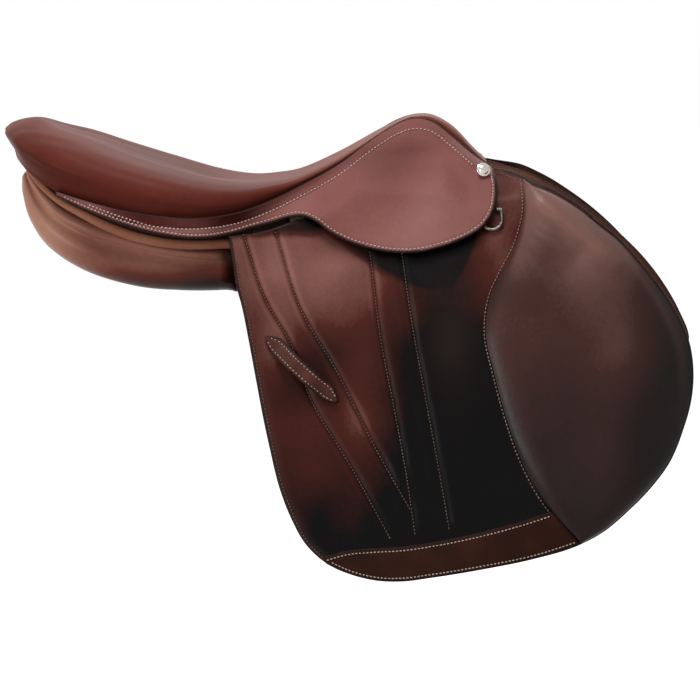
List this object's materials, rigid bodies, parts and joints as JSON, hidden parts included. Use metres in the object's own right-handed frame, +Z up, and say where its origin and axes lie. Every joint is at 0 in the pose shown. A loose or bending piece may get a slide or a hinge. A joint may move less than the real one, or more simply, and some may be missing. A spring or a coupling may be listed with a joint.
{
  "type": "close-contact jumping saddle",
  "caption": "English close-contact jumping saddle: padded seat on a sprung tree, hinged skirts and flaps with knee pads, stirrup bars, girth straps and stuffed panels.",
  "frame": {"origin": "On the centre line, straight below the lowest point of the seat, level with the underside of the rear panels, where the saddle rests on the horse's back.", "axes": "+X towards the horse's head (the pommel), +Y to the horse's left, +Z up."},
  "size_m": [0.6217, 0.4244, 0.3882],
  "materials": {
    "seat_leather": "satin",
    "skirt_leather": "satin",
    "flap_leather": "satin",
    "panel_leather": "semi-gloss",
    "tan_leather": "satin",
    "edge_leather": "satin",
    "foam": "matte",
    "webbing": "matte",
    "beech": "satin",
    "steel": "satin",
    "nickel": "polished"
  },
  "bodies": {
    "saddle": {"seat_cover": "seat_leather", "seat_foam": "foam", "seat_web_L": "webbing", "seat_web_R": "webbing", "waist_web": "webbing", "girth_web_front": "webbing", "girth_web_rear": "webbing", "seat_welt_L": "edge_leather", "seat_welt_R": "edge_leather", "cantle_roll": "tan_leather", "tree_head": "beech", "tree_cantle": "beech", "tree_rail_L": "beech", "tree_rail_R": "beech", "tree_spring_L": "steel", "tree_spring_R": "steel", "gullet_plate": "steel", "pommel_facing": "flap_leather", "skirt_facing_L": "skirt_leather", "skirt_facing_R": "skirt_leather", "nail_L": "nickel", "nail_R": "nickel", "flap_top_L": "flap_leather", "flap_top_R": "flap_leather", "sweat_flap_L": "flap_leather", "sweat_flap_R": "flap_leather", "panel_cover_L": "panel_leather", "panel_cover_R": "panel_leather", "panel_foam_L": "foam", "panel_foam_R": "foam", "stirrup_bar_L": "steel", "stirrup_bar_R": "steel", "catch_pin_L": "steel", "catch_pin_R": "steel", "dee_chape_L": "flap_leather", "dee_chape_R": "flap_leather"},
    "flap_left": {"flap_L": "flap_leather", "knee_pad_L": "flap_leather", "grip_patch_L": "tan_leather", "keeper_L": "skirt_leather"},
    "flap_right": {"flap_R": "flap_leather", "knee_pad_R": "flap_leather", "grip_patch_R": "tan_leather", "keeper_R": "skirt_leather"},
    "skirt_left": {"skirt_lobe_L": "skirt_leather"},
    "skirt_right": {"skirt_lobe_R": "skirt_leather"},
    "catch_left": {"stirrup_catch_L": "steel"},
    "catch_right": {"stirrup_catch_R": "steel"},
    "dee_left": {"dee_L": "nickel"},
    "dee_right": {"dee_R": "nickel"},
    "strap_1_left": {"girth_strap_1_L": "flap_leather"},
    "strap_1_right": {"girth_strap_1_R": "flap_leather"},
    "strap_2_left": {"girth_strap_2_L": "flap_leather"},
    "strap_2_right": {"girth_strap_2_R": "flap_leather"},
    "strap_3_left": {"girth_strap_3_L": "flap_leather"},
    "strap_3_right": {"girth_strap_3_R": "flap_leather"}
  },
  "joints": [
    {"name": "flap_lift_left", "type": "hinge", "parent": "saddle", "child": "flap_left", "pos_m": [-0.039, 0.12572, 0.007], "axis": [0.9835, -0.079, 0.1629], "range_deg": [0, 100]},
    {"name": "flap_lift_right", "type": "hinge", "parent": "saddle", "child": "flap_right", "pos_m": [-0.039, -0.12572, 0.007], "axis": [-0.9835, -0.079, -0.1629], "range_deg": [0, 100]},
    {"name": "skirt_lift_left", "type": "hinge", "parent": "saddle", "child": "skirt_left", "pos_m": [0.022, 0.0948, 0.064], "axis": [0.9788, -0.0345, 0.2017], "range_deg": [0, 60]},
    {"name": "skirt_lift_right", "type": "hinge", "parent": "saddle", "child": "skirt_right", "pos_m": [0.022, -0.0948, 0.064], "axis": [-0.9788, -0.0345, -0.2017], "range_deg": [0, 60]},
    {"name": "catch_turn_left", "type": "hinge", "parent": "saddle", "child": "catch_left", "pos_m": [0.10633, 0.08973, 0.06432], "axis": [-0.1056, 0.882, 0.4593], "range_deg": [0, 75]},
    {"name": "catch_turn_right", "type": "hinge", "parent": "saddle", "child": "catch_right", "pos_m": [0.10633, -0.08973, 0.06432], "axis": [0.1056, 0.882, -0.4593], "range_deg": [0, 75]},
    {"name": "dee_swing_left", "type": "hinge", "parent": "saddle", "child": "dee_left", "pos_m": [0.18385, 0.09347, 0.07412], "axis": [0.9981, 0.0543, 0.0288], "range_deg": [0, 5]},
    {"name": "dee_swing_right", "type": "hinge", "parent": "saddle", "child": "dee_right", "pos_m": [0.18385, -0.09347, 0.07412], "axis": [-0.9981, 0.0543, -0.0288], "range_deg": [0, 5]},
    {"name": "strap_1_swing_left", "type": "hinge", "parent": "saddle", "child": "strap_1_left", "pos_m": [0.03, 0.08898, 0.026], "axis": [0, 1, 0], "range_deg": [-3, 3]},
    {"name": "strap_1_swing_right", "type": "hinge", "parent": "saddle", "child": "strap_1_right", "pos_m": [0.03, -0.08898, 0.026], "axis": [0, -1, 0], "range_deg": [-3, 3]},
    {"name": "strap_2_swing_left", "type": "hinge", "parent": "saddle", "child": "strap_2_left", "pos_m": [0.07, 0.09178, 0.026], "axis": [0, 1, 0], "range_deg": [-3, 3]},
    {"name": "strap_2_swing_right", "type": "hinge", "parent": "saddle", "child": "strap_2_right", "pos_m": [0.07, -0.09178, 0.026], "axis": [0, -1, 0], "range_deg": [-3, 3]},
    {"name": "strap_3_swing_left", "type": "hinge", "parent": "saddle", "child": "strap_3_left", "pos_m": [0.11, 0.09544, 0.026], "axis": [0, 1, 0], "range_deg": [-3, 3]},
    {"name": "strap_3_swing_right", "type": "hinge", "parent": "saddle", "child": "strap_3_right", "pos_m": [0.11, -0.09544, 0.026], "axis": [0, -1, 0], "range_deg": [-3, 3]}
  ]
}
